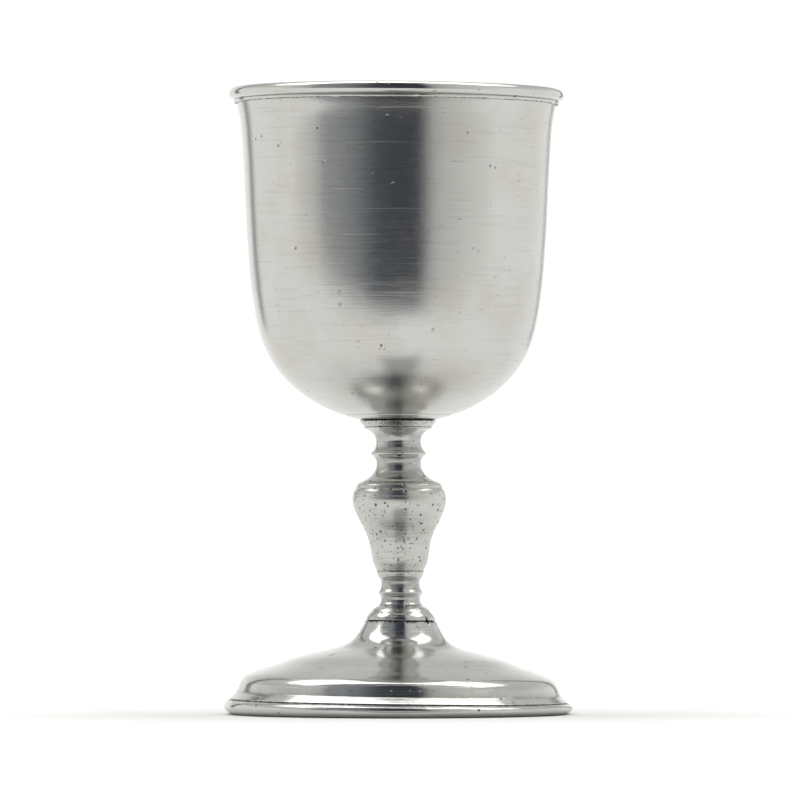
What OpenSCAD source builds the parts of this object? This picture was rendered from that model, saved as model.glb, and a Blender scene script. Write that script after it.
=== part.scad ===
// Communion chalice: a cast and turned pewter cup on a baluster stem and a stepped round foot.
// The stem pieces are loose turned castings that register in one another by spigots. A threaded rod
// runs down the middle from a boss under the bowl, and a nut under the foot pulls them together.
// Origin: centre of the flat ring that the foot stands on. +Z is up. Millimetres.

/* [Bowl] */
// Outer radius of the rolled rim
rim_r = 47.95; // [46.5:0.05:50]
// Height of the bowl, from the lowest point of its underside to the top of the rim
bowl_h = 95.9; // [85:0.1:110]
// Thickness of the bowl's wall
bowl_wall = 1.5; // [1.2:0.1:1.8]
// Thickness of the bowl's bottom
bowl_bottom = 2.2; // [1.8:0.1:2.6]
// Radius of the line turned round the bowl's underside
line_r = 15.4; // [13:0.1:18]

/* [Stem] */
// Radius of the stem's upper hollows
neck_r = 6.45; // [6.2:0.05:7]
// Largest radius of the knop
knop_r = 13.35; // [12.6:0.05:14.5]
// Height of the knop
knop_h = 25.4; // [22:0.1:30]
// Thickness of the knop's wall
knop_wall = 2.2; // [1.8:0.1:2.4]
// Height of the upper stem
upper_h = 15.8; // [14.5:0.1:18]
// Height of the lower stem
lower_h = 9.7; // [9:0.1:12]
// Height of the ring under the bowl
collar_h = 1.8; // [1.6:0.1:2.2]

/* [Foot] */
// Outer radius of the foot
foot_r = 49.95; // [47:0.05:54]
// Height of the foot, from its ring to its neck
foot_h = 22.9; // [21:0.1:26]
// Thickness of the foot's shell
foot_wall = 2; // [1.6:0.1:2.2]
// Height of the ring that the foot stands on
ring_h = 3.7; // [3.4:0.1:4.2]
// Height of the double bead on the foot's neck
bead_h = 4.6; // [4.2:0.1:5.2]

/* [Fixings] */
// Diameter of the threaded rod
rod_d = 6; // [5:0.5:6]
// Width of the nut across its flats
nut_flats = 10; // [9:0.5:10]
// Height of the nut
nut_h = 5; // [4:0.1:5.5]
// Diameter of the plain washer
washer_d = 16; // [14:0.5:16]
// Thickness of the washer
washer_h = 1.6; // [1:0.1:1.6]

/* [Hidden] */
$fn = 96;

// Points drawn for each stretch between two knots of a smooth outline
steps = 5;
// Thin gap between a spigot and its recess
slip = 0.1;
// Depth of a spigot in its recess
spigot_h = 1.2;
// Small bevel that shows as a line where two pieces meet
bevel = 0.15;
rod_r = rod_d / 2;
rod_hole_r = rod_r + 0.2;

// Levels, from the floor up
z_foot = ring_h;
z_bead = z_foot + foot_h;
z_lower = z_bead + bead_h;
z_knop = z_lower + lower_h;
z_upper = z_knop + knop_h;
z_collar = z_upper + upper_h;
// The bowl's underside dips into the ring it stands on
z_bowl = z_collar + collar_h - 1;
z_web = z_bead - 2.6;
z_washer = z_web - washer_h;
z_nut = z_washer - nut_h;
z_rod = z_nut - 2;

pewter = [0.66, 0.66, 0.63];
brass = [0.72, 0.58, 0.32];
steel = [0.6, 0.61, 0.63];

// ---- Outlines ----

// Points on a round arc, angles in degrees
function arc(centre, r, from, to, n) =
    [for (i = [0:n]) let (a = from + (to - from) * i / n) centre + r * [cos(a), sin(a)]];

// One point of a Catmull-Rom curve between b and c
function catmull(a, b, c, d, t) =
    (2 * b + (c - a) * t + (2 * a - 5 * b + 4 * c - d) * t * t
        + (3 * b - a - 3 * c + d) * t * t * t) / 2;

// A smooth curve through knots. before is the point that sets the slope at the first knot.
function smooth(knots, before = undef) =
    let (
        last = len(knots) - 1,
        first = is_undef(before) ? 2 * knots[0] - knots[1] : before,
        all = concat([first], knots, [2 * knots[last] - knots[last - 1]])
    )
    concat(
        [for (i = [0:last - 1]) for (k = [0:steps - 1])
            catmull(all[i], all[i + 1], all[i + 2], all[i + 3], k / steps)],
        [knots[last]]
    );

// The points of a curve, moved by t to the left of its direction
function inset(points, t) =
    [for (i = [0:len(points) - 1])
        let (
            d = points[min(i + 1, len(points) - 1)] - points[max(i - 1, 0)],
            left = [-d[1], d[0]] / norm(d)
        )
        points[i] + t * left];

function scaled(shares, r, h) = [for (p = shares) [p[0] * r, p[1] * h]];
function reversed(points) = [for (i = [len(points) - 1:-1:0]) points[i]];

module turned(outline) { rotate_extrude() polygon(outline); }

// ---- Bowl ----

lip_r = rim_r - 2.35;
lip_z = bowl_h - 2.4;
wall_z = bowl_h - 4.3;
// Outside of the bowl, as shares of the lip's radius and the wall's height
bowl_shares = [
    [0, 0], [0.241, 0.0147], [0.34, 0.0295], [0.443, 0.0485], [0.625, 0.105], [0.7675, 0.182], [0.855, 0.275],
    [0.908, 0.415], [0.9385, 0.6], [0.9565, 0.79], [0.976, 0.932], [1, 1]
];
bowl_knots = scaled(bowl_shares, lip_r, wall_z);
bowl_outside = smooth(bowl_knots, [-bowl_knots[1][0], bowl_knots[1][1]]);
// The inside is drawn to the wall's thickness, and thickens to the bottom
bowl_inside = [for (i = [0:len(bowl_outside) - 1])
    let (
        share = pow(max(0, 1 - bowl_outside[i][0] / lip_r), 0.7),
        t = bowl_wall + (bowl_bottom - bowl_wall) * share,
        p = inset(bowl_outside, t)[i]
    )
    [i == 0 ? 0 : p[0], p[1]]];

// Line that is turned round the underside, cut square to the surface
module turned_line(r) {
    z = lookup(r, [for (p = bowl_outside) [p[0], p[1]]]);
    rotate_extrude() translate([r, z]) circle(r = 0.22, $fn = 24);
}

module bowl() {
    color(pewter) translate([0, 0, z_bowl])
        difference() {
            turned(concat(
                bowl_outside, [[lip_r, lip_z], [lip_r - bowl_wall, lip_z]], reversed(bowl_inside)
            ));
            turned_line(line_r);
        }
}

// Solid body of the bowl's underside, which the pieces below are fitted to
module bowl_underside() {
    translate([0, 0, z_bowl])
        turned(concat([for (p = bowl_outside) if (p[1] < wall_z / 4) p], [[0, wall_z / 4]]));
}

// Moulded wire round the lip: a roll over a thin fillet. The roll's top is turned flat.
module rim_moulding() {
    roll_r = 1.7;
    roll = [rim_r - roll_r, bowl_h - roll_r];
    fillet_r = 0.62;
    fillet = [lip_r + 0.38, bowl_h - 3.82];
    inner_r = lip_r - bowl_wall + 0.05;
    inner_round = 1.1;
    skirt_z = bowl_h - 4.5;
    color(pewter) translate([0, 0, z_bowl])
        turned(concat(
            [[lip_r + 0.02, skirt_z]],
            arc(fillet, fillet_r, -75, 50, 8),
            [[roll[0] + 0.6, roll[1] - roll_r + 0.1]],
            arc(roll, roll_r, -58, 90, 14),
            arc([inner_r + inner_round, bowl_h - inner_round], inner_round, 90, 180, 6),
            [[inner_r, lip_z + 0.02], [lip_r + 0.02, lip_z + 0.02]]
        ));
}

// Boss soldered under the bowl, tapped for the rod
module bowl_boss() {
    head_r = 7.1;
    tail_r = neck_r - 1.85;
    tail_h = 9;
    color(brass)
        difference() {
            union() {
                translate([0, 0, z_collar - 1.3]) cylinder(r = head_r, h = 4);
                translate([0, 0, z_collar - tail_h]) cylinder(r = tail_r, h = tail_h);
            }
            bowl_underside();
            translate([0, 0, z_collar - tail_h - 1]) cylinder(r = rod_r, h = tail_h);
        }
}

// ---- Stem ----

// Flared ring that the bowl is seated on
module bowl_collar() {
    hole_r = 7.2;
    lip = 10.95;
    color(pewter) translate([0, 0, z_collar])
        turned([
            [hole_r, 0], [9.75 - bevel, 0], [9.75, bevel], [lip, collar_h - 0.15],
            [lip - 0.1, collar_h], [10.3, collar_h + 0.06], [hole_r, collar_h - 0.52]
        ]);
}

// Two hollows with a sharp ring between them, flaring to the knop below and the bowl above
module upper_stem() {
    ring_r = neck_r + 1.45;
    k = upper_h / 15.8;
    lower = smooth([
        [10.4, bevel], [9.2, 0.95 * k], [8.2, 1.6 * k], [neck_r + 0.6, 2.85 * k], [neck_r - 0.05, 4.3 * k],
        [neck_r - 0.15, 5.8 * k], [neck_r + 0.3, 6.95 * k], [ring_r - 0.05, 8.05 * k]
    ]);
    upper = smooth([
        [ring_r - 0.05, 8.4 * k], [neck_r + 0.35, 9.6 * k], [neck_r - 0.05, 10.9 * k],
        [neck_r - 0.05, 12.2 * k], [neck_r + 0.4, 13.5 * k], [8.2, 14.75 * k], [9.35, 15.25 * k],
        [9.75, upper_h - bevel]
    ]);
    seat_r = 7.2;
    socket_r = neck_r - 1.75;
    color(pewter) translate([0, 0, z_upper])
        turned(concat(
            [[rod_hole_r, -spigot_h], [5.4, -spigot_h], [5.4, 0], [10.25, 0]],
            lower, upper,
            [[9.75 - bevel, upper_h], [seat_r, upper_h], [seat_r, upper_h - 1.32],
             [socket_r, upper_h - 1.32], [socket_r, upper_h - 9.1], [rod_hole_r, upper_h - 9.1]]
        ));
}

// Outside of the knop, from its foot to the line under its shoulder
knop_shares = [
    [0.545, 0.058], [0.585, 0.115], [0.62, 0.225], [0.665, 0.345], [0.745, 0.455],
    [0.87, 0.58], [0.965, 0.7], [1, 0.805], [0.975, 0.89], [0.925, 0.93]
];

// Hollow baluster casting, shaped like an upturned pear, with a rounded shoulder ring on top
module knop() {
    side = smooth(scaled(knop_shares, knop_r, knop_h));
    shoulder_r = 0.92 * knop_r;
    hollow = [for (p = inset(side, knop_wall)) if (p[1] > 3.2 && p[1] < knop_h - 3.6) p];
    floor_z = 3;
    roof_z = knop_h - 3.2;
    color(pewter) translate([0, 0, z_knop])
        turned(concat(
            [[rod_hole_r, spigot_h + slip], [4.5, spigot_h + slip], [4.5, 0], [6.6, 0],
             [6.75, bevel]],
            side,
            arc([shoulder_r - 1.45, knop_h - 1.45], 1.45, -12, 78, 7),
            [[10.6, knop_h], [5.5, knop_h], [5.5, knop_h - spigot_h - slip],
             [rod_hole_r, knop_h - spigot_h - slip], [rod_hole_r, roof_z],
             [hollow[len(hollow) - 1][0] - 1.5, roof_z]],
            reversed(hollow),
            [[hollow[0][0] - 0.3, floor_z], [rod_hole_r, floor_z]]
        ));
}

// Band, hollow, sharp ring and hollow
module lower_stem() {
    k = lower_h / 9.7;
    thin_r = 5.4;
    ring_r = 6.25;
    lower = smooth([
        [6.1, bevel], [thin_r + 0.15, 1.1 * k], [thin_r + 0.2, 2.3 * k], [ring_r, 3.45 * k]
    ]);
    upper = smooth([
        [ring_r, 3.75 * k], [thin_r + 0.25, 4.75 * k], [thin_r, 5.9 * k],
        [thin_r + 0.15, 7.1 * k], [6.2, 7.9 * k]
    ]);
    color(pewter) translate([0, 0, z_lower])
        turned(concat(
            [[rod_hole_r, -spigot_h], [4.3, -spigot_h], [4.3, 0], [5.95, 0]],
            lower, upper,
            [[6.3, 8.1 * k], [6.7, 9.3 * k], [6.7, lower_h - bevel], [6.55, lower_h], [4.4, lower_h],
             [4.4, lower_h + spigot_h], [rod_hole_r, lower_h + spigot_h]]
        ));
}

// ---- Foot ----

// Double bead that covers the joint between the stem and the foot
module foot_bead() {
    k = bead_h / 4.6;
    color(pewter) translate([0, 0, z_bead])
        turned(concat(
            [[rod_hole_r, -spigot_h], [4.9, -spigot_h], [4.9, 0], [9.2, 0], [9.75, 0.2 * k]],
            smooth([[9.9, 0.5 * k], [9.65, 1.2 * k], [9.1, 2 * k], [8.45, 2.75 * k]]),
            smooth([[8.3, 2.85 * k], [7.95, 3.35 * k], [7.2, 3.9 * k], [6.2, 4.45 * k]]),
            [[6, bead_h], [4.4, bead_h], [4.4, bead_h - spigot_h - slip],
             [rod_hole_r, bead_h - spigot_h - slip]]
        ));
}

// Outside of the foot as shares of its radius and height: the flange, then the dome and neck
flange_shares = [[0.965, 0.012], [0.947, 0.0505], [0.929, 0.088]];
dome_shares = [
    [0.926, 0.094], [0.921, 0.122], [0.915, 0.16], [0.907, 0.21], [0.9, 0.239], [0.892, 0.257],
    [0.8795, 0.288], [0.856, 0.3155], [0.815, 0.3515], [0.761, 0.393], [0.673, 0.458],
    [0.588, 0.529], [0.51, 0.577], [0.41, 0.629], [0.33, 0.677], [0.278, 0.742],
    [0.246, 0.821], [0.222, 0.913], [0.202, 1]
];

module foot() {
    dome = smooth(scaled(dome_shares, foot_r, foot_h));
    web_z = z_web - z_foot;
    lip_out = 0.87 * foot_r - slip;
    lip_in = lip_out - 1.4;
    hollow = [for (p = inset(dome, foot_wall)) if (p[0] < lip_in - 0.2 && p[1] < web_z - 0.3) p];
    neck_in = hollow[len(hollow) - 1][0];
    color(pewter) translate([0, 0, z_foot])
        turned(concat(
            [[0.87 * foot_r - slip, 0], [0.962 * foot_r, 0]],
            smooth(scaled(flange_shares, foot_r, foot_h)),
            dome,
            [[5, foot_h], [5, foot_h - spigot_h - slip], [rod_hole_r, foot_h - spigot_h - slip],
             [rod_hole_r, web_z], [neck_in - 0.5, web_z]],
            reversed(hollow),
            [[lip_in, hollow[0][1] - 1.2], [lip_in, -1.7], [lip_out, -1.7]]
        ));
}

// Rounded ring under the foot's edge. The chalice stands on its flat underside.
module foot_ring() {
    k = ring_h / 3.7;
    inner_r = 0.87 * foot_r;
    outside = smooth([
        [foot_r - 3.2, 0], [foot_r - 1.5, 0.4 * k], [foot_r - 0.4, 1.15 * k], [foot_r, 2 * k],
        [foot_r - 0.35, 2.9 * k], [foot_r - 1.15, 3.5 * k], [foot_r - 1.85, ring_h]
    ], [foot_r - 5, 0]);
    color(pewter)
        turned(concat([[inner_r + 0.6, 0]], outside, [[inner_r, ring_h], [inner_r, 0.6]]));
}

// ---- Fixings ----

module tie_rod() {
    chamfer = 0.5;
    length = z_collar - 1.6 - z_rod;
    color(steel) translate([0, 0, z_rod]) {
        cylinder(r1 = rod_r - chamfer, r2 = rod_r, h = chamfer);
        translate([0, 0, chamfer]) cylinder(r = rod_r, h = length - 2 * chamfer);
        translate([0, 0, length - chamfer]) cylinder(r1 = rod_r, r2 = rod_r - chamfer, h = chamfer);
    }
}

module plain_washer() {
    color(brass) translate([0, 0, z_washer])
        difference() {
            cylinder(d = washer_d, h = washer_h);
            translate([0, 0, -1]) cylinder(r = rod_hole_r, h = washer_h + 2);
        }
}

// Hexagon nut with its corners turned off at both ends
module clamp_nut() {
    corner_r = nut_flats / 2 / cos(30);
    color(brass) translate([0, 0, z_nut])
        difference() {
            intersection() {
                cylinder(r = corner_r, h = nut_h, $fn = 6);
                turned([
                    [0, 0], [nut_flats / 2 - 0.2, 0], [corner_r + 0.1, 0.65],
                    [corner_r + 0.1, nut_h - 0.65], [nut_flats / 2 - 0.2, nut_h], [0, nut_h]
                ]);
            }
            translate([0, 0, -1]) cylinder(r = rod_r, h = nut_h + 2);
        }
}

bowl();
rim_moulding();
bowl_boss();
bowl_collar();
upper_stem();
knop();
lower_stem();
foot_bead();
foot();
foot_ring();
tie_rod();
plain_washer();
clamp_nut();
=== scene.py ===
"""Looks of the communion chalice: each turned piece is lathed anew, finely, from the CAD's own section,
with the small faults that a cast and hand-turned pewter cup has, and gets a procedural pewter."""
import math

import bmesh
import bpy
import numpy as np
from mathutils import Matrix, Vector


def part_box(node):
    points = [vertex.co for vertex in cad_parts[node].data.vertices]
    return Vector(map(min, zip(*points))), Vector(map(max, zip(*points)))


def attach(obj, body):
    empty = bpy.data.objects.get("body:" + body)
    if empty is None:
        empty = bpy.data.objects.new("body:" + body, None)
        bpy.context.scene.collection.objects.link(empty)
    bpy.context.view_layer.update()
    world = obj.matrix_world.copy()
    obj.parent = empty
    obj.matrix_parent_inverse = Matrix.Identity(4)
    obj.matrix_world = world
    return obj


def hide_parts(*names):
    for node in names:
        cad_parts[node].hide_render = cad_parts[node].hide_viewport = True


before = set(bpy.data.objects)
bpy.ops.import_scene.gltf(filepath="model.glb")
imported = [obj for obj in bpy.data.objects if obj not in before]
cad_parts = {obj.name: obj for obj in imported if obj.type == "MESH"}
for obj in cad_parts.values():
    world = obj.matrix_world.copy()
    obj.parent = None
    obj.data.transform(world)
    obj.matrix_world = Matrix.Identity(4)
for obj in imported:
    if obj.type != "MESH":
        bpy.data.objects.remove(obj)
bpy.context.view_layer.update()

MM = 0.001
FRONT = -90.0    # angle about +Z, in degrees, of the side that faces the camera

# ---- Sections of the CAD pieces ----

STEP = 0.05 * MM             # spacing of the points while an outline is worked on
CELLS = 50                   # parts of STEP to which the section's points are rounded
ON_PLANE = 1e-7              # a point nearer than this to y = 0 is on the section
ON_AXIS = 1e-5               # a point nearer than this to the axis is on it
CORNER = math.radians(20)    # a sharper turn than this is an edge
MOST_TURN = math.radians(7)  # how far the outline may turn between two rows of the mesh
PROUD_OVER = 0.9 * MM        # width over which a point counts as proud of the outline or sunk in it
PROUD_FULL = 0.16 * MM       # a point this proud is fully a crest, and one this sunk fully a hollow
LEVEL = 0.1 * MM             # heights closer than this are one level when the outside is found
SKIN = 0.45 * MM             # a point this near the widest one at its level is on the outside


def section_of(node):
    """The node's section at y = 0: (r, z) points in order, inside on the left, and whether it closes."""
    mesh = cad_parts[node].data
    links = {}

    def place(index):
        p = mesh.vertices[index].co
        return round(p.x / STEP * CELLS), round(p.z / STEP * CELLS)

    def on_section(index):
        p = mesh.vertices[index].co
        return abs(p.y) < ON_PLANE and p.x > -ON_PLANE

    for edge in mesh.edges:
        if all(on_section(i) for i in edge.vertices):
            a, b = (place(i) for i in edge.vertices)
            if a != b:
                links.setdefault(a, set()).add(b)
                links.setdefault(b, set()).add(a)
    ends = sorted(p for p in links if len(links[p]) == 1)
    chain = [ends[0] if ends else min(links)]
    seen = set(chain)
    while True:
        ahead = sorted(p for p in links[chain[-1]] if p not in seen)
        if not ahead:
            break
        chain.append(ahead[0])
        seen.add(ahead[0])
    points = np.array(chain, float) * STEP / CELLS
    r, z = points.T
    area = np.sum(r * np.roll(z, -1) - np.roll(r, -1) * z)
    return (points if area > 0 else points[::-1]), not ends


def turns(points, closed):
    """How sharply the outline turns at each point, in radians."""
    before, after = np.roll(points, 1, 0), np.roll(points, -1, 0)
    a, b = points - before, after - points
    angle = np.arctan2(a[:, 0] * b[:, 1] - a[:, 1] * b[:, 0], np.sum(a * b, 1))
    if not closed:
        angle[[0, -1]] = 0
    return angle


def blurred(points, sigma, closed):
    """The points averaged along the outline over a width of sigma. An open outline keeps its ends."""
    reach = int(3 * sigma / STEP)
    if reach < 1 or len(points) < 3:
        return points.copy()
    reach = min(reach, len(points) - 1)
    weights = np.exp(-0.5 * (np.arange(-reach, reach + 1) * STEP / sigma) ** 2)
    weights /= weights.sum()
    if closed:
        padded = np.concatenate([points[-reach:], points, points[:reach]])
    else:
        low = 2 * points[0] - points[reach:0:-1]
        high = 2 * points[-1] - points[-2:-reach - 2:-1]
        padded = np.concatenate([low, points, high])
    return np.stack([np.convolve(padded[:, k], weights, "valid") for k in (0, 1)], 1)


def curve_through(knots):
    """Closely spaced points on a smooth curve through the knots (Catmull-Rom by chord length)."""
    if len(knots) == 2:
        count = max(2, int(np.linalg.norm(knots[1] - knots[0]) / STEP) + 1)
        return knots[0] + np.linspace(0, 1, count)[:, None] * (knots[1] - knots[0])
    chord = np.concatenate([[0], np.cumsum(np.linalg.norm(np.diff(knots, axis=0), axis=1))])
    slope = np.gradient(knots, chord, axis=0)
    at = np.linspace(0, chord[-1], max(3, int(chord[-1] / STEP) + 1))
    i = np.clip(np.searchsorted(chord, at, "right") - 1, 0, len(knots) - 2)
    h = (chord[i + 1] - chord[i])[:, None]
    t = ((at - chord[i]) / (chord[i + 1] - chord[i]))[:, None]
    return (
        (2 * t**3 - 3 * t**2 + 1) * knots[i] + (t**3 - 2 * t**2 + t) * h * slope[i]
        + (3 * t**2 - 2 * t**3) * knots[i + 1] + (t**3 - t**2) * h * slope[i + 1]
    )


class Outline:
    """A node's section, smoothed between its edges, with the edges worn round."""

    def __init__(self, node, smooth, wear, fine, coarse, all_fine=False):
        points, closed = section_of(node)
        edge = np.abs(turns(points, closed)) > CORNER
        if closed:
            first = int(np.argmax(edge))
            points, edge = np.roll(points, -first, 0), np.roll(edge, -first)
            points, edge = np.vstack([points, points[:1]]), np.append(edge, True)
        edge[[0, -1]] = True
        stops = np.flatnonzero(edge)
        stretches = [
            self.stretch(points[a:b + 1], smooth)[:-1] for a, b in zip(stops[:-1], stops[1:])
        ]
        dense = np.vstack(stretches + ([] if closed else [points[-1:]]))
        dense = blurred(dense, wear, closed)
        dense[:, 0] = np.maximum(dense[:, 0], 0)
        step = np.linalg.norm(np.diff(dense, axis=0), axis=1)
        along = np.concatenate([[0], np.cumsum(step)])
        outer = self.outermost(dense)
        keep, turned, last = [0], 0.0, 0.0
        bend = np.abs(turns(dense, closed))
        for i in range(1, len(dense)):
            turned += bend[i]
            room = fine if all_fine or outer[i] else coarse
            if turned > MOST_TURN or along[i] - last >= room:
                keep.append(i)
                turned, last = 0.0, along[i]
        if not closed and keep[-1] != len(dense) - 1:
            keep.append(len(dense) - 1)
        direction = np.gradient(dense, axis=0)
        normal = np.stack([direction[:, 1], -direction[:, 0]], 1)
        normal /= np.linalg.norm(normal, axis=1)[:, None] + 1e-12
        proud = np.sum((dense - blurred(dense, PROUD_OVER, closed)) * normal, 1)
        self.closed = closed
        self.r, self.z = dense[keep].T
        self.along = along[keep]
        self.normal = normal[keep]
        self.proud = proud[keep]
        self.outer = outer[keep]

    @staticmethod
    def stretch(knots, smooth):
        """The outline between two edges. A short one, such as a turned line, is hardly smoothed."""
        length = np.sum(np.linalg.norm(np.diff(knots, axis=0), axis=1))
        return blurred(curve_through(knots), min(smooth, length / 12), False)

    @staticmethod
    def outermost(points):
        """True where nothing of the section lies further out at the same height."""
        level = np.round(points[:, 1] / LEVEL).astype(int)
        level -= level.min()
        widest = np.zeros(level.max() + 1)
        np.maximum.at(widest, level, points[:, 0])
        return points[:, 0] > widest[level] - SKIN


# ---- Faults of hand work ----

def waves(rng, angle, along, count, around, length):
    """A smooth random field from -1 to 1: count waves, up to `around` of them round the piece,
    and no shorter than `length` along the outline."""
    field = np.zeros((len(along), len(angle)))
    for _ in range(count):
        lobes = rng.integers(0, around + 1)
        pitch = rng.uniform(-1, 1) * 2 * math.pi / length
        phase = rng.uniform(0, 2 * math.pi)
        field += np.cos(lobes * angle[None, :] + pitch * along[:, None] + phase)
    return field / math.sqrt(count)


def grain(rng, shape, passes):
    """Random grain from -1 to 1, evened out between neighbours a few times."""
    field = rng.uniform(-1, 1, shape)
    for _ in range(passes):
        field = (field + np.roll(field, 1, 1) + np.roll(field, -1, 1)) / 3
        field[1:-1] = (field[:-2] + field[1:-1] + field[2:]) / 3
    return field / (np.abs(field).max() + 1e-9)


def beside(outline, level, width):
    """1 at a height, falling to 0 above and below it."""
    return np.exp(-((outline.z - level) / width) ** 2)


def spot(outline, angle, degrees, height, width, tall):
    """A dip's depth, 1 at its middle and 0 outside: at an angle from the front and a height, and
    reaching `width` to each side and `tall` up and down."""
    across = (np.degrees(angle)[None, :] - (FRONT + degrees) + 180) % 360 - 180
    distance = np.radians(across) * np.maximum(outline.r, MM)[:, None]
    rise = (outline.z - height)[:, None]
    d2 = (distance / width) ** 2 + (rise / tall) ** 2
    return np.where(outline.outer[:, None], np.clip(1 - d2, 0, 1) ** 1.5, 0)


PIT_DEPTH = 0.55    # a pit's depth as a share of its radius


def scattered_pits(rng, outline, angle, low, high, count, smallest, largest):
    """Many open casting pits between two heights: their depth in metres, and how dark they are."""
    depth = np.zeros((len(outline.r), len(angle)))
    dark = np.zeros_like(depth)
    for _ in range(count):
        size = smallest + (largest - smallest) * rng.random() ** 3
        shape = spot(outline, angle, rng.uniform(-180, 180), rng.uniform(low, high),
                     size * rng.uniform(0.6, 1.5), size * rng.uniform(0.7, 1.5))
        depth = np.maximum(depth, shape * size * PIT_DEPTH)
        dark = np.maximum(dark, shape ** 0.5)
    return depth, dark


# ---- Seams ----

def top(node):
    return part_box(node)[1].z


def bottom(node):
    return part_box(node)[0].z


# Where two pieces meet on the outside, from the CAD's boxes
SEAMS = {
    "rim": bottom("rim_moulding"),
    "bowl": top("bowl_collar"),
    "collar": top("upper_stem"),
    "shoulder": top("knop"),
    "knop": bottom("knop"),
    "bead": top("foot_bead"),
    "foot": top("foot"),
    "ring": top("foot_ring"),
}
# How dark each seam's line is. One over 1 is wider too.
DARK = {
    "rim": 1.0, "bowl": 0.8, "collar": 0.45, "shoulder": 0.6,
    "knop": 0.5, "bead": 0.5, "foot": 1.25, "ring": 0.9,
}
SEAM_WIDTH = 0.28 * MM


# ---- Lean ----

# The stack isn't quite true. Per height: how far it stands off the axis along X, and how far it tilts.
LEAN_AT = np.array([0, 4, 10, 26.6, 41, 66, 84, 110, 180]) * MM
LEAN_OFF = np.array([0, 0, 0, 0.62, 0.48, 0.12, -0.15, -0.55, -0.6]) * MM
LEAN_TILT = np.array([0, 0.014, 0.017, 0.012, 0, 0, 0, 0.004, 0.007])
LEAN_STEP = 0.5 * MM    # spacing of the levels for which the lean is worked out
SETTLED = 3 * MM        # the lean comes in over this height above the floor
lean_levels = np.arange(-20 * MM, 200 * MM, LEAN_STEP)


def eased(values, width):
    """The lean at every level, without kinks."""
    table = np.interp(lean_levels, LEAN_AT, values)
    reach = int(3 * width / LEAN_STEP)
    weights = np.exp(-0.5 * (np.arange(-reach, reach + 1) * LEAN_STEP / width) ** 2)
    return np.convolve(np.pad(table, reach, "edge"), weights / weights.sum(), "valid")


lean_off, lean_tilt = eased(LEAN_OFF, 3 * MM), eased(LEAN_TILT, 1 * MM)


def leaned(xyz):
    """Moves points of the stack with its lean. What touches the floor stays on it."""
    z = xyz[..., 2].copy()
    settled = np.clip(z / SETTLED, 0, 1)
    xyz[..., 0] += np.interp(z, lean_levels, lean_off) * settled
    xyz[..., 2] -= np.interp(z, lean_levels, lean_tilt) * xyz[..., 0] * settled


# ---- Lathe ----

def lathed(name, outline, around, faults=None, materials=(), second=None, leans=True):
    """A closed turned mesh. faults(outline, angles) gives how far the surface stands proud, in metres,
    and how dark with dirt each point is. second(outline) is true where the second material goes."""
    angle = np.linspace(0, 2 * math.pi, around, endpoint=False)
    rows = len(outline.r)
    proud = np.zeros((rows, around))
    dirt = np.zeros((rows, around))
    if faults:
        proud, dirt = faults(outline, angle)
    r = outline.r[:, None] + proud * outline.normal[:, :1]
    z = outline.z[:, None] + proud * outline.normal[:, 1:]
    xyz = np.stack([r * np.cos(angle), r * np.sin(angle), z], 2)
    if leans:
        leaned(xyz)
    seam = np.zeros(rows)
    for joint, level in SEAMS.items():
        near = beside(outline, level, SEAM_WIDTH * max(1, DARK[joint]))
        seam = np.maximum(seam, near * outline.outer * DARK[joint])
    by_row = {
        "along": outline.along,
        "hollow": np.clip(-outline.proud / PROUD_FULL, 0, 1),
        "crest": np.clip(outline.proud / PROUD_FULL, 0, 1),
        "seam": seam,
    }
    fields = {key: np.broadcast_to(row[:, None], r.shape) for key, row in by_row.items()}
    fields["dirt"] = dirt
    index = np.arange(rows * around).reshape(rows, around)
    # A row on the axis is one point
    poles = [] if outline.closed else [i for i in (0, rows - 1) if outline.r[i] < ON_AXIS]
    vertices, kept = xyz.reshape(-1, 3), np.ones(rows * around, bool)
    for i in poles:
        index[i] = index[i, 0]
        vertices[index[i, 0], :2] = 0
        kept[i * around + 1:(i + 1) * around] = False
    renumber = np.cumsum(kept) - 1
    index = renumber[index]
    below = index if outline.closed else index[:-1]
    above = np.roll(index, -1, 0) if outline.closed else index[1:]
    quads = np.stack(
        [below, np.roll(below, -1, 1), np.roll(above, -1, 1), above], 2
    ).reshape(-1, 4)
    rows_of = np.repeat(np.arange(len(below)), around)
    faces = [tuple(dict.fromkeys(q)) for q in quads.tolist()]
    mesh = bpy.data.meshes.new(name)
    mesh.from_pydata(vertices[kept].tolist(), [], faces)
    for key, field in fields.items():
        layer = mesh.attributes.new(key, "FLOAT", "POINT")
        layer.data.foreach_set("value", np.ascontiguousarray(field, np.float32).ravel()[kept])
    for material in materials:
        mesh.materials.append(material)
    if second is not None:
        where = second(outline)[rows_of].astype(np.int32)
        mesh.polygons.foreach_set("material_index", where)
    bm = bmesh.new()
    bm.from_mesh(mesh)
    bmesh.ops.recalc_face_normals(bm, faces=bm.faces)
    bm.to_mesh(mesh)
    bm.free()
    mesh.polygons.foreach_set("use_smooth", np.ones(len(mesh.polygons), bool))
    mesh.update()
    piece = bpy.data.objects.new(name, mesh)
    bpy.context.scene.collection.objects.link(piece)
    return piece


# ---- Materials ----

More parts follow.
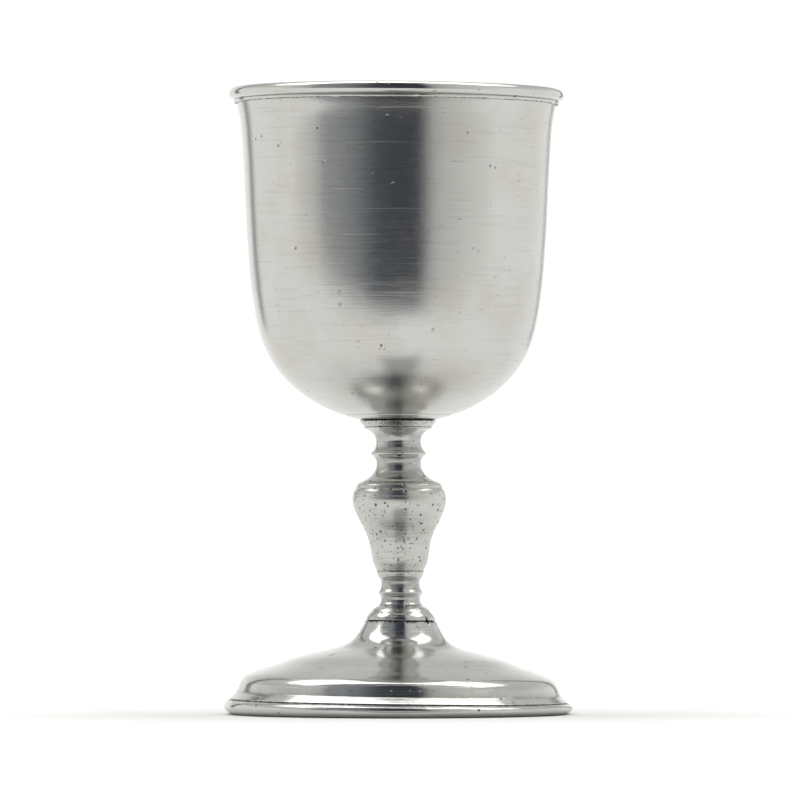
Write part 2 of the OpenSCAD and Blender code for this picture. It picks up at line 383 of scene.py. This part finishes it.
class Nodes:
    """Short ways to add and join shader nodes."""

    def __init__(self, name):
        self.material = bpy.data.materials.new(name)
        self.material.use_nodes = True
        self.tree = self.material.node_tree
        self.shader = self.tree.nodes["Principled BSDF"]

    def put(self, kind, inputs=None, **settings):
        node = self.tree.nodes.new(kind)
        for key, value in settings.items():
            setattr(node, key, value)
        for key, value in (inputs or {}).items():
            self.feed(node.inputs[key], value)
        return node

    def feed(self, socket, value):
        if isinstance(value, bpy.types.NodeSocket):
            self.tree.links.new(value, socket)
        else:
            socket.default_value = value

    def math(self, operation, a, b=0.0, clamp=False):
        return self.put("ShaderNodeMath", {0: a, 1: b}, operation=operation, use_clamp=clamp).outputs[0]

    def ramp(self, value, low, high, to_low=0.0, to_high=1.0):
        """value from low to high, smoothly, becomes to_low to to_high."""
        node = self.put("ShaderNodeMapRange", {
            "Value": value, "From Min": low, "From Max": high, "To Min": to_low, "To Max": to_high,
        }, interpolation_type="SMOOTHSTEP")
        return node.outputs["Result"]

    def noise(self, vector, scale, detail=3.0, roughness=0.55):
        node = self.put("ShaderNodeTexNoise", {
            "Vector": vector, "Scale": scale, "Detail": detail, "Roughness": roughness,
        })
        return node.outputs["Fac"]

    def field(self, name):
        return self.put("ShaderNodeAttribute", attribute_name=name).outputs["Fac"]

    def mix(self, factor, a, b):
        node = self.put("ShaderNodeMix", data_type="RGBA")
        self.feed(node.inputs["Factor"], factor)
        self.feed(node.inputs[6], a)
        self.feed(node.inputs[7], b)
        return node.outputs[2]

    def place(self):
        return self.put("ShaderNodeTexCoord").outputs["Object"]

    def around(self, stretch):
        """Coordinates for turning marks: far apart along the outline, close together round it."""
        flat = self.put("ShaderNodeVectorMath", {0: self.place(), 1: (1, 1, 0)}, operation="MULTIPLY")
        unit = self.put("ShaderNodeVectorMath", {0: flat.outputs[0]}, operation="NORMALIZE")
        parts = self.put("ShaderNodeSeparateXYZ", {0: unit.outputs[0]})
        return self.put("ShaderNodeCombineXYZ", {
            0: self.math("MULTIPLY", parts.outputs[0], stretch),
            1: self.math("MULTIPLY", parts.outputs[1], stretch),
            2: self.math("MULTIPLY", self.field("along"), 1000.0),
        }).outputs[0]

    def bumped(self, height, distance, strength=1.0, under=None):
        inputs = {"Height": height, "Distance": distance, "Strength": strength}
        if under is not None:
            inputs["Normal"] = under
        return self.put("ShaderNodeBump", inputs).outputs["Normal"]

    def pin_holes(self, scale, share, size):
        """Small sparse round holes: 1 in a hole, 0 on the sound metal."""
        cells = self.put("ShaderNodeTexVoronoi", {"Vector": self.place(), "Scale": scale})
        chosen = self.ramp(
            self.put("ShaderNodeSeparateColor", {0: cells.outputs["Color"]}).outputs[0],
            1 - share - 0.01, 1 - share + 0.01,
        )
        inside = self.ramp(cells.outputs["Distance"], size * 0.45, size, 1.0, 0.0)
        return self.math("MULTIPLY", chosen, inside)

    def scratches(self, turn, scale, least):
        """Sparse thin straight scratches at a slant."""
        spun = self.put("ShaderNodeMapping", {
            "Vector": self.place(), "Rotation": turn, "Scale": (scale * 0.012, scale * 0.05, scale),
        })
        lines = self.noise(spun.outputs[0], 1.0, 1.0, 0.3)
        return self.ramp(lines, least, least + 0.03)


SEAM_DARK = 0.9                        # how nearly black a seam's line gets
BLACK = (0.035, 0.034, 0.032, 1.0)     # pits and seams
SUNK = (0.12, 0.12, 0.118, 1.0)        # hollows that the cloth has never reached
MARKED = (0.3, 0.3, 0.29, 1.0)         # the deeper turning marks


def pewter(name, tone, roughness, turned, pits=0.0, dirt=0.6, anisotropic=0.55, cast=0.0, dull=0.0,
           brushed=0.0):
    """Turned or cast pewter. turned, cast and brushed are the depths of its turning marks, its casting
    skin and its short fine brushing strokes, in millimetres. pits is the share of pin holes, dirt how
    dark its hollows are, and dull how much less its crests are burnished."""
    n = Nodes(name)
    coarse_lines = n.noise(n.around(2.2), 1.1, 4.0, 0.62)
    fine_lines = n.noise(n.around(3.5), 4.5, 3.0, 0.6)
    cloud = n.noise(n.place(), 55.0, 4.0, 0.6)
    mottle = n.noise(n.place(), 420.0, 4.0, 0.6)
    holes = n.pin_holes(620.0, pits, 0.36)
    specks = n.pin_holes(1500.0, pits * 0.8, 0.4)
    scratched = n.math("MAXIMUM", n.scratches((0.5, 0.2, 0.3), 900.0, 0.74),
                       n.scratches((-0.8, 0.9, 1.7), 1100.0, 0.75))

    light = tuple(tone) + (1.0,)
    warm = (tone[0] * 0.93, tone[1] * 0.915, tone[2] * 0.87, 1.0)
    colour = n.mix(n.ramp(cloud, 0.38, 0.72), light, warm)
    colour = n.mix(n.ramp(coarse_lines, 0.5, 0.78, 0.0, 0.24), colour, MARKED)
    uneven = n.ramp(mottle, 0.3, 0.62, 0.35, 1.0)
    hollow = n.math("MULTIPLY", n.math("MULTIPLY", n.field("hollow"), dirt), uneven, True)
    colour = n.mix(n.math("MULTIPLY", hollow, 0.5), colour, SUNK)
    broken = n.ramp(n.noise(n.place(), 900.0, 5.0, 0.75), 0.4, 0.6, 0.25, 1.35)
    seam = n.ramp(n.math("MULTIPLY", n.field("seam"), broken), 0.15, 0.95)
    colour = n.mix(n.math("MULTIPLY", seam, SEAM_DARK), colour, BLACK)
    colour = n.mix(n.math("MULTIPLY", n.math("MAXIMUM", holes, specks), 0.8), colour, BLACK)
    colour = n.mix(n.field("dirt"), colour, BLACK)
    n.feed(n.shader.inputs["Base Color"], colour)

    gloss = n.ramp(cloud, 0.25, 0.75, roughness - 0.02, roughness + 0.035)
    gloss = n.math("ADD", gloss, n.ramp(fine_lines, 0.35, 0.7, -0.015, 0.04))
    gloss = n.math("ADD", gloss, n.math("MULTIPLY", hollow, 0.1))
    gloss = n.math("ADD", gloss, n.math("MULTIPLY", n.math("MAXIMUM", seam, n.field("dirt")), 0.4))
    gloss = n.math("SUBTRACT", gloss, n.math("MULTIPLY", n.field("crest"), 0.03 - dull))
    n.feed(n.shader.inputs["Roughness"], n.math("ADD", gloss, 0.0, True))

    normal = n.bumped(coarse_lines, turned * MM)
    normal = n.bumped(fine_lines, turned * 0.3 * MM, under=normal)
    if brushed:
        strokes = n.noise(n.around(75.0), 5.5, 2.0, 0.6)
        normal = n.bumped(strokes, brushed * MM, under=normal)
    if cast:
        normal = n.bumped(n.noise(n.place(), 1500.0, 5.0, 0.72), cast * MM, under=normal)
        scuffs = n.math("MAXIMUM", n.scratches((1.1, 0.4, 0.8), 1500.0, 0.64),
                        n.scratches((-0.3, 1.3, 2.4), 1700.0, 0.65))
        normal = n.bumped(n.math("SUBTRACT", 1.0, scuffs), cast * MM, under=normal)
    normal = n.bumped(n.math("SUBTRACT", 1.0, n.math("MAXIMUM", holes, specks)), 0.12 * MM, under=normal)
    normal = n.bumped(n.math("SUBTRACT", 1.0, scratched), 0.012 * MM, under=normal)
    n.feed(n.shader.inputs["Normal"], normal)

    n.shader.inputs["Metallic"].default_value = 1.0
    n.shader.inputs["Anisotropic"].default_value = anisotropic
    n.shader.inputs["Anisotropic Rotation"].default_value = 0.25
    round_z = n.put("ShaderNodeTangent", direction_type="RADIAL", axis="Z")
    n.feed(n.shader.inputs["Tangent"], round_z.outputs[0])
    return n.material


def fixing_metal(name, tone, roughness):
    """Plain machined metal of the rod, nut and washer, with stains and a fine machined grain."""
    n = Nodes(name)
    stain = n.noise(n.place(), 260.0, 5.0, 0.6)
    fine = n.noise(n.place(), 1800.0, 3.0, 0.6)
    dark = tuple(c * 0.35 for c in tone) + (1.0,)
    n.feed(n.shader.inputs["Base Color"], n.mix(n.ramp(stain, 0.45, 0.75), tuple(tone) + (1.0,), dark))
    n.feed(n.shader.inputs["Roughness"], n.ramp(stain, 0.3, 0.75, roughness, roughness + 0.2))
    n.feed(n.shader.inputs["Normal"], n.bumped(fine, 0.02 * MM))
    n.shader.inputs["Metallic"].default_value = 1.0
    return n.material


PEWTER = (0.6, 0.597, 0.575)
turned_pewter = pewter("turned_pewter", PEWTER, 0.17, 0.012, pits=0.006,
                       anisotropic=0.7, cast=0.004, brushed=0.011)
cup_inside = pewter("cup_inside", (0.57, 0.565, 0.535), 0.3, 0.014, pits=0.02)
rim_pewter = pewter("rim_pewter", (0.6, 0.6, 0.58), 0.11, 0.006, cast=0.006, pits=0.01, dirt=1.0)
cast_pewter = pewter("cast_pewter", (0.57, 0.57, 0.556), 0.1, 0.005, pits=0.03, dirt=0.9,
                     anisotropic=0.3, cast=0.018)
pitted_pewter = pewter("pitted_pewter", (0.575, 0.573, 0.553), 0.21, 0.006, pits=0.1, dirt=0.8,
                       anisotropic=0.2, cast=0.024)
foot_pewter = pewter("foot_pewter", (0.585, 0.586, 0.57), 0.11, 0.010, pits=0.02, dirt=0.9, cast=0.011)
foot_inside = pewter("foot_inside", (0.46, 0.455, 0.43), 0.4, 0.02, pits=0.08, cast=0.05, dull=0.06)
brass = fixing_metal("brass", (0.62, 0.47, 0.23), 0.32)
steel = fixing_metal("steel", (0.5, 0.5, 0.51), 0.3)


# ---- Faults of each piece ----

CHIP_AT = 50    # degrees round from the front of the chip in the seam over the foot


def bowl_faults(outline, angle):
    rng = np.random.default_rng(11)
    wavy = waves(rng, angle, outline.along, 18, 7, 38 * MM) * 0.022 * MM
    hammered = waves(rng, angle, outline.along, 30, 22, 11 * MM) * 0.0035 * MM
    depth, dark = scattered_pits(rng, outline, angle, bottom("bowl"), SEAMS["rim"], 40,
                                 0.22 * MM, 0.36 * MM)
    near_seam = beside(outline, SEAMS["bowl"], 0.5 * MM)[:, None]
    rough = grain(rng, wavy.shape, 1) * near_seam * 0.05 * MM * outline.outer[:, None]
    return wavy + hammered + rough - depth * 0.35, dark * 0.4


def stem_faults(seed, nicks):
    """Slight waviness, rough edges at the joints, and a few nicks on the sharp rings."""
    def faults(outline, angle):
        rng = np.random.default_rng(seed)
        proud = waves(rng, angle, outline.along, 14, 9, 6 * MM) * 0.012 * MM
        near = np.zeros(len(outline.r))
        for level in SEAMS.values():
            near = np.maximum(near, beside(outline, level, 0.35 * MM))
        proud += grain(rng, proud.shape, 2) * (near * outline.outer)[:, None] * 0.07 * MM
        crests = outline.z[(outline.proud > 0.08 * MM) & outline.outer]
        for _ in range(nicks):
            level = rng.choice(crests) if len(crests) else outline.z.mean()
            dip = spot(outline, angle, rng.uniform(-180, 180), level,
                       rng.uniform(0.3, 0.8) * MM, 0.35 * MM)
            proud -= dip * rng.uniform(0.04, 0.16) * MM
        depth, dark = scattered_pits(rng, outline, angle, outline.z.min(), outline.z.max(),
                                     26, 0.12 * MM, 0.3 * MM)
        return proud - depth, dark * 0.8
    return faults


def knop_faults(outline, angle):
    rng = np.random.default_rng(23)
    proud = waves(rng, angle, outline.along, 16, 8, 9 * MM) * 0.03 * MM
    proud += grain(rng, proud.shape, 4) * outline.outer[:, None] * 0.012 * MM
    low, high = SEAMS["knop"], SEAMS["shoulder"]
    depth, dark = scattered_pits(rng, outline, angle, low + 0.06 * (high - low), high - 1.8 * MM, 420,
                                 0.09 * MM, 0.34 * MM)
    near = beside(outline, SEAMS["shoulder"], 0.5 * MM)
    proud += grain(rng, proud.shape, 2) * (near * outline.outer)[:, None] * 0.05 * MM
    return proud - depth, dark


def foot_faults(outline, angle):
    rng = np.random.default_rng(37)
    proud = waves(rng, angle, outline.along, 20, 6, 30 * MM) * 0.03 * MM
    proud += waves(rng, angle, outline.along, 24, 18, 9 * MM) * 0.006 * MM
    near = beside(outline, SEAMS["foot"], 0.45 * MM)
    rough = grain(rng, proud.shape, 2) * (near * outline.outer)[:, None]
    proud += rough * 0.12 * MM
    chip = spot(outline, angle, CHIP_AT, SEAMS["foot"] + 0.3 * MM, 0.55 * MM, 1.5 * MM)
    depth, dark = scattered_pits(rng, outline, angle, SEAMS["ring"], SEAMS["foot"], 70,
                                 0.18 * MM, 0.45 * MM)
    return proud - depth * 0.5 - chip * 0.5 * MM, np.maximum(dark * 0.7, np.clip(chip * 1.5, 0, 1))


def collar_faults(outline, angle):
    """The collar's upper edge is as cast: rough, with dark specks."""
    proud, dirt = stem_faults(7, 4)(outline, angle)
    rng = np.random.default_rng(8)
    edge = (beside(outline, SEAMS["bowl"] - 0.5 * MM, 0.55 * MM) * outline.outer)[:, None]
    specks = grain(rng, proud.shape, 2)
    return proud + specks * edge * 0.07 * MM, np.maximum(dirt, np.clip(specks * 2.6 - 0.5, 0, 0.9) * edge)


def bead_faults(outline, angle):
    proud, dirt = stem_faults(41, 6)(outline, angle)
    chip = spot(outline, angle, CHIP_AT, SEAMS["foot"] + 0.3 * MM, 0.6 * MM, 1.9 * MM)
    return proud - chip * 0.6 * MM, np.maximum(dirt, np.clip(chip * 1.5, 0, 1))


def ring_faults(outline, angle):
    rng = np.random.default_rng(53)
    proud = waves(rng, angle, outline.along, 16, 8, 20 * MM) * 0.012 * MM
    for _ in range(16):
        dip = spot(outline, angle, rng.uniform(-180, 180), rng.uniform(1.2, 3.2) * MM,
                   rng.uniform(0.5, 1.6) * MM, rng.uniform(0.3, 0.6) * MM)
        proud -= dip * rng.uniform(0.03, 0.1) * MM
    # The ring's flat underside stays flat, so that the foot stands level
    proud *= (outline.z > 0.2 * MM)[:, None]
    return proud, np.zeros_like(proud)


PITCH = 1.0 * MM
THREAD_DEPTH = 0.55 * MM
SHANK = 2.9 * MM    # the rod is threaded where its radius is over this


def thread(outline, angle):
    """The rod's M6 thread, as a helix."""
    turn = (outline.z[:, None] / PITCH - angle[None, :] / (2 * math.pi)) % 1
    ridge = np.abs(turn - 0.5) * 2
    threaded = (outline.r > SHANK)[:, None]
    return -ridge * threaded * THREAD_DEPTH, (ridge * threaded) * 0.35


def inside_of_cup(outline):
    return outline.normal[:, 1] - outline.normal[:, 0] > 0


def underside(outline):
    return outline.normal[:, 1] + outline.normal[:, 0] < 0


# ---- Pieces ----

# node: slot, outline smoothing, edge wear, fine and coarse steps (mm), segments round, faults, materials,
# and where the second material goes
PIECES = {
    "bowl": ("turned_pewter", 1.2, 0.05, 0.9, 0.9, 360, bowl_faults,
             (turned_pewter, cup_inside), inside_of_cup),
    "rim_moulding": ("rim_pewter", 0.15, 0.05, 0.3, 0.3, 360, stem_faults(5, 10), (rim_pewter,), None),
    "bowl_collar": ("cast_pewter", 0.1, 0.05, 0.12, 0.6, 480, collar_faults, (cast_pewter,), None),
    "upper_stem": ("cast_pewter", 0.25, 0.06, 0.2, 1.5, 240, stem_faults(13, 14), (cast_pewter,), None),
    "knop": ("pitted_pewter", 0.4, 0.06, 0.17, 1.5, 440, knop_faults, (pitted_pewter,), None),
    "lower_stem": ("cast_pewter", 0.2, 0.05, 0.17, 1.5, 220, stem_faults(17, 10), (cast_pewter,), None),
    "foot_bead": ("cast_pewter", 0.2, 0.06, 0.17, 1.5, 280, bead_faults, (cast_pewter,), None),
    "foot": ("foot_pewter", 0.6, 0.07, 0.5, 0.8, 360, foot_faults, (foot_pewter, foot_inside), underside),
    "foot_ring": ("foot_pewter", 0.3, 0.06, 0.25, 0.8, 360, ring_faults, (foot_pewter,), None),
    "tie_rod": ("steel", 0.0, 0.03, 0.15, 0.6, 48, thread, (steel,), None),
    "plain_washer": ("brass", 0.0, 0.06, 0.4, 0.6, 96, None, (brass,), None),
}

for node, (slot, smooth, wear, fine, coarse, around, faults, looks, second) in PIECES.items():
    outline = Outline(node, smooth * MM, wear * MM, fine * MM, coarse * MM,
                      all_fine=node in ("bowl", "rim_moulding", "tie_rod"))
    piece = lathed("turned_" + node, outline, around, faults, looks, second,
                   leans=node not in ("tie_rod", "plain_washer"))
    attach(piece, "root")
    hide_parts(node)

for node in ("bowl_boss", "clamp_nut"):
    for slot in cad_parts[node].material_slots:
        slot.material = brass


# ---- Studio ----

def card(name, corners, colour, strength=1.0, stops=None):
    """A flat card that gives light, such as a wall of the tent or the dark opening in it. With stops,
    its colour runs through them from the first corner's side to the second's: (share, colour) pairs."""
    mesh = bpy.data.meshes.new(name)
    mesh.from_pydata([tuple(c) for c in corners], [], [(0, 1, 2, 3)])
    n = Nodes(name)
    n.tree.nodes.remove(n.shader)
    glow = n.put("ShaderNodeEmission", {"Strength": strength})
    if stops:
        across = n.put("ShaderNodeSeparateXYZ", {0: n.place()}).outputs[0]
        share = n.put("ShaderNodeMapRange", {
            "Value": across, "From Min": corners[0][0], "From Max": corners[1][0],
        }).outputs["Result"]
        ramp = n.put("ShaderNodeValToRGB", {0: share})
        shades = ramp.color_ramp.elements
        while len(shades) < len(stops):
            shades.new(0.5)
        for shade, (at, tone) in zip(shades, stops):
            shade.position = at
            shade.color = tuple(tone) + (1.0,)
        n.feed(glow.inputs["Color"], ramp.outputs["Color"])
    else:
        glow.inputs["Color"].default_value = tuple(colour) + (1.0,)
    n.tree.links.new(glow.outputs[0], n.tree.nodes["Material Output"].inputs["Surface"])
    mesh.materials.append(n.material)
    panel = bpy.data.objects.new(name, mesh)
    bpy.context.scene.collection.objects.link(panel)
    panel.visible_camera = False
    panel.visible_diffuse = False
    panel.visible_shadow = False


# The tent's dark opening, in front of the object: direction from the front in degrees, and tone.
# Its edges are the sharp steps; the cloth beside them is shaded.
OPENING = -0.3
OPENING_TOP, LID = 0.62, 1.5    # heights of the opening's upper edge and of the top of the cloth above it
SHADES = [
    (-84, (0.95, 0.95, 0.93)), (-74, (0.76, 0.76, 0.74)), (-59.5, (0.62, 0.62, 0.61)),
    (-57.5, (0.36, 0.37, 0.385)), (-44, (0.33, 0.342, 0.36)), (-30, (0.24, 0.252, 0.272)),
    (-21, (0.14, 0.15, 0.17)), (-14, (0.075, 0.083, 0.1)), (0, (0.05, 0.057, 0.073)),
    (17, (0.05, 0.057, 0.073)), (20.5, (0.28, 0.285, 0.3)), (24, (0.52, 0.52, 0.52)),
    (34, (0.68, 0.68, 0.67)), (55, (0.82, 0.82, 0.8)), (76, (0.97, 0.97, 0.95)),
]


def ahead_at(degrees):
    return abs(OPENING) * math.tan(math.radians(degrees))


first, last = ahead_at(SHADES[0][0]), ahead_at(SHADES[-1][0])
front_stops = [((ahead_at(at) - first) / (last - first), tone) for at, tone in SHADES]
EDGE_LEFT, EDGE_RIGHT = 0.054, 0.027    # heights of the opening's lower edge, which slants
slant_from, slant_to = ahead_at(-57.5), ahead_at(-14)


def edge_height(x):
    share = min(1, max(0, (x - slant_from) / (slant_to - slant_from)))
    return EDGE_LEFT + (EDGE_RIGHT - EDGE_LEFT) * share


# The panel is made in strips, because its lower edge slants
ROUNDING = 1e-6
cuts = [first, slant_from, slant_to, last]
for k, (x0, x1) in enumerate(zip(cuts[:-1], cuts[1:])):
    inside = [
        (at, tone) for at, tone in front_stops
        if x0 - ROUNDING <= first + at * (last - first) <= x1 + ROUNDING
    ]
    card(f"front_{k}", [(x0, OPENING, edge_height(x0)), (x1, OPENING, edge_height(x1)),
                        (x1, OPENING, OPENING_TOP), (x0, OPENING, OPENING_TOP)], None,
         stops=[((first + at * (last - first) - x0) / (x1 - x0), tone) for at, tone in inside])
for name, low, high, tone in (
    ("slit_overhead", (-0.1, 0.14), (0.3, -0.3), (0.1, 0.11, 0.13)),
    ("cloth_overhead", (-0.6, -0.1), (-0.3, -1.3), (0.36, 0.365, 0.37)),
):
    card(name, [(x, OPENING, OPENING_TOP) for x in low] + [(x, OPENING, LID) for x in high], tone)
# A shade on the floor before the foot, just clear of the floor and of the foot
SHADE_NEAR, SHADE_FAR, SHADE_UP = -0.096, -0.0505, 0.0006
card("floor_shade", [(-0.026, SHADE_NEAR, SHADE_UP), (0.042, SHADE_NEAR, SHADE_UP),
                     (0.022, SHADE_FAR, SHADE_UP), (-0.016, SHADE_FAR, SHADE_UP)], (0.45, 0.455, 0.465))


def strip(name, direction, width, distance, high, colour, strength):
    """A narrow upright card facing the object, at a direction counted from its front."""
    middle = math.radians(FRONT + direction)
    ahead = Vector((math.cos(middle), math.sin(middle), 0)) * distance
    side = Vector((-math.sin(middle), math.cos(middle), 0)) * (distance * math.tan(math.radians(width / 2)))
    up = Vector((0, 0, high))
    card(name, [ahead - side, ahead + side, ahead + side + up, ahead - side + up], colour, strength)


strip("tent_pole_left", -141, 9, 0.9, 0.9, (0.3, 0.3, 0.3), 1.0)
strip("tent_pole_right", 157, 7, 0.9, 0.9, (0.36, 0.36, 0.36), 1.0)

HALF = 7.0    # half the floor's width
floor_mesh = bpy.data.meshes.new("floor")
floor_corners = [(-HALF, -HALF, 0), (HALF, -HALF, 0), (HALF, HALF, 0), (-HALF, HALF, 0)]
floor_mesh.from_pydata(floor_corners, [], [(0, 1, 2, 3)])
floor = bpy.data.objects.new("floor", floor_mesh)
bpy.context.scene.collection.objects.link(floor)
pale = Nodes("pale_floor")
pale.shader.inputs["Base Color"].default_value = (0.85, 0.85, 0.847, 1)
pale.shader.inputs["Roughness"].default_value = 0.9
pale.shader.inputs["Specular IOR Level"].default_value = 0.0
# The floor takes the object's shadow near it, and is evenly lit further out
reach = pale.put("ShaderNodeVectorMath", {0: pale.place()}, operation="LENGTH").outputs["Value"]
lit = pale.put("ShaderNodeEmission", {"Color": (1.0, 1.0, 0.995, 1), "Strength": 1.03})
faded = pale.put("ShaderNodeMixShader", {
    0: pale.ramp(reach, 0.06, 0.15), 1: pale.shader.outputs[0], 2: lit.outputs[0],
})
pale.tree.links.new(faded.outputs[0], pale.tree.nodes["Material Output"].inputs["Surface"])
floor_mesh.materials.append(pale.material)

# The tent round the object is a little less bright overhead than at the sides
world = bpy.data.worlds.new("tent")
world.use_nodes = True
sky = world.node_tree
direction = sky.nodes.new("ShaderNodeTexCoord")
parts = sky.nodes.new("ShaderNodeSeparateXYZ")
sky.links.new(direction.outputs["Generated"], parts.inputs[0])
height = sky.nodes.new("ShaderNodeMapRange")
height.interpolation_type = "SMOOTHSTEP"
for key, value in (("From Min", 0.12), ("From Max", 0.5), ("To Min", 1.03), ("To Max", 0.74)):
    height.inputs[key].default_value = value
sky.links.new(parts.outputs[2], height.inputs["Value"])
sky.nodes["Background"].inputs["Color"].default_value = (1.0, 0.998, 0.985, 1)
sky.links.new(height.outputs["Result"], sky.nodes["Background"].inputs["Strength"])
bpy.context.scene.world = world

overhead = bpy.data.lights.new("overhead", "AREA")
overhead.shape = "RECTANGLE"
overhead.size, overhead.size_y = 2.6, 0.8
overhead.energy = 12.0
overhead_lamp = bpy.data.objects.new("overhead", overhead)
overhead_lamp.location = (-0.1, 0.16, 1.25)
bpy.context.scene.collection.objects.link(overhead_lamp)

CAMERA_AT = Vector((0.0, -2.37, 0.060))
AIM_AT = Vector((0.0004, 0.0, 0.0898))
camera = bpy.data.cameras.new("camera")
camera.lens = 373
camera.sensor_width = 36
camera.clip_end = 50
camera_object = bpy.data.objects.new("camera", camera)
camera_object.location = CAMERA_AT
camera_object.rotation_mode = "QUATERNION"
camera_object.rotation_quaternion = (AIM_AT - CAMERA_AT).to_track_quat("-Z", "Y")
bpy.context.scene.collection.objects.link(camera_object)
bpy.context.scene.camera = camera_object
bpy.context.scene.view_settings.view_transform = "Standard"
